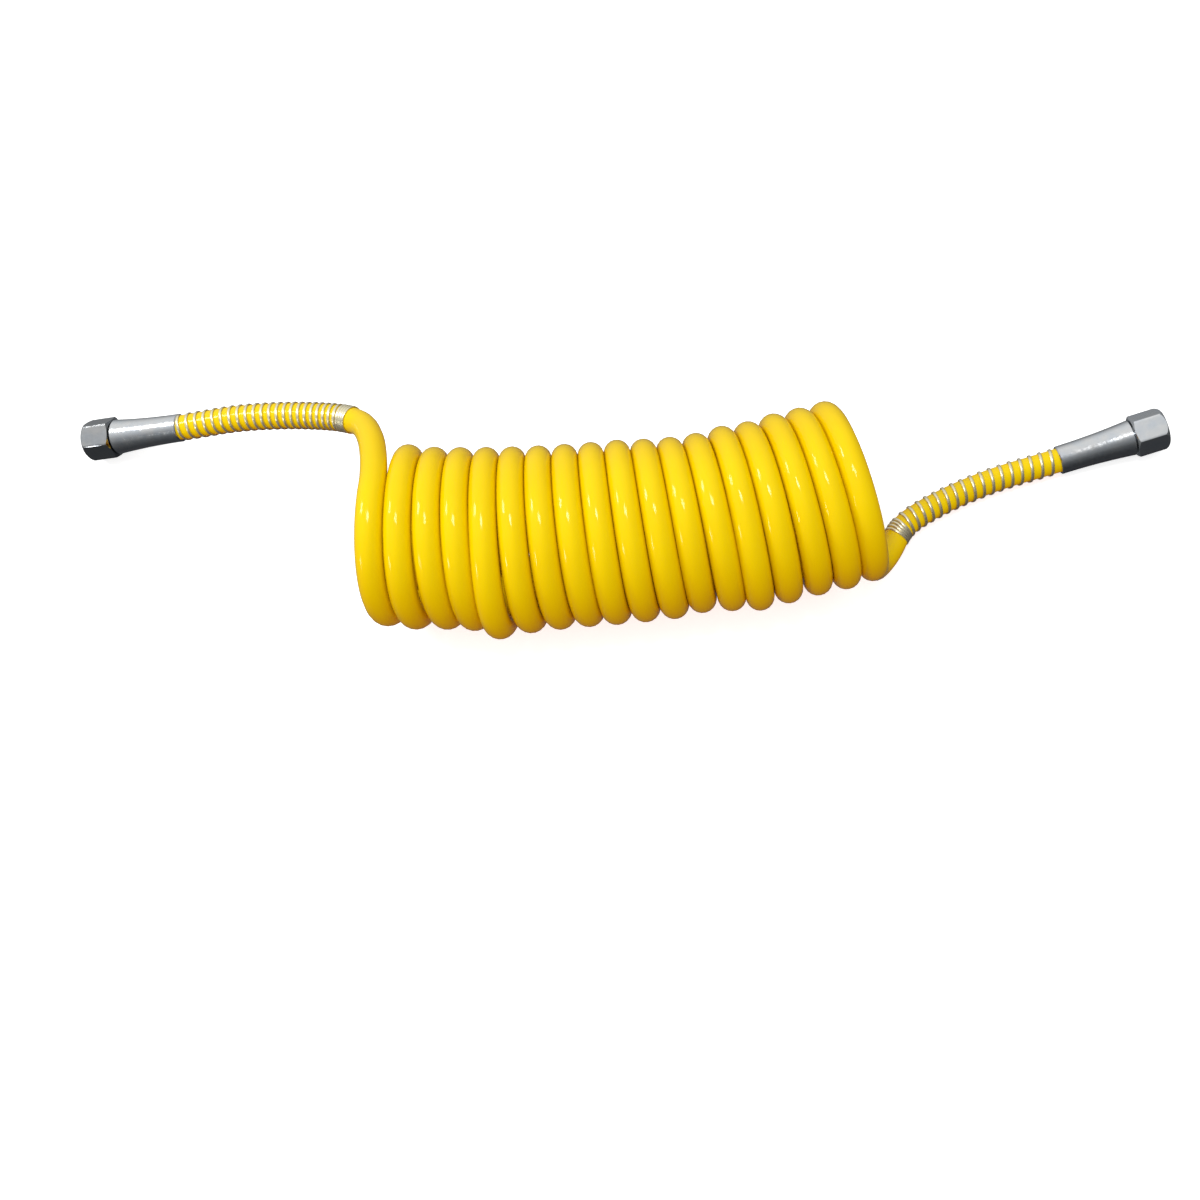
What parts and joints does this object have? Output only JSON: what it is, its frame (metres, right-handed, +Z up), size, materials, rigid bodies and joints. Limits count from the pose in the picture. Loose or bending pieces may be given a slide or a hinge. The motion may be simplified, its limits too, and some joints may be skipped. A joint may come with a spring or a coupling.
{
  "type": "coiled air hose",
  "caption": "Close right-handed coil of yellow air hose with straight tails, wire bend guards, tapered ferrules and hexagonal union nuts.",
  "frame": {"origin": "centre of the whole hose's bounding box, on the floor it lies on", "axes": "+X along the coil's axis from the left tail to the right tail, +Y to the side the tails lie on, +Z up"},
  "size_m": [0.5229, 0.1416, 0.085],
  "materials": {
    "hose": "glossy polyamide",
    "guard": "bright spring wire",
    "plated": "bright zinc plate",
    "stem": "zinc-plated, machined",
    "seal": "matt"
  },
  "bodies": {
    "hose": {"hose_coil": "hose", "left_hose_stem": "stem", "left_ferrule": "plated", "left_seal_ring": "seal", "left_spring_guard": "guard", "left_hose_tail": "hose", "right_hose_stem": "stem", "right_ferrule": "plated", "right_seal_ring": "seal", "right_spring_guard": "guard", "right_hose_tail": "hose"},
    "left_nut": {"left_union_nut": "plated"},
    "right_nut": {"right_union_nut": "plated"}
  },
  "joints": [
    {"name": "left_nut_spin", "type": "hinge", "parent": "hose", "child": "left_nut", "pos_m": [-0.25114, 0.06032, 0.01117], "axis": [-0.96, 0.0891, -0.2656], "continuous": true},
    {"name": "right_nut_spin", "type": "hinge", "parent": "hose", "child": "right_nut", "pos_m": [0.25216, 0.00882, 0.01022], "axis": [0.9786, 0.1938, 0.0698], "continuous": true}
  ]
}
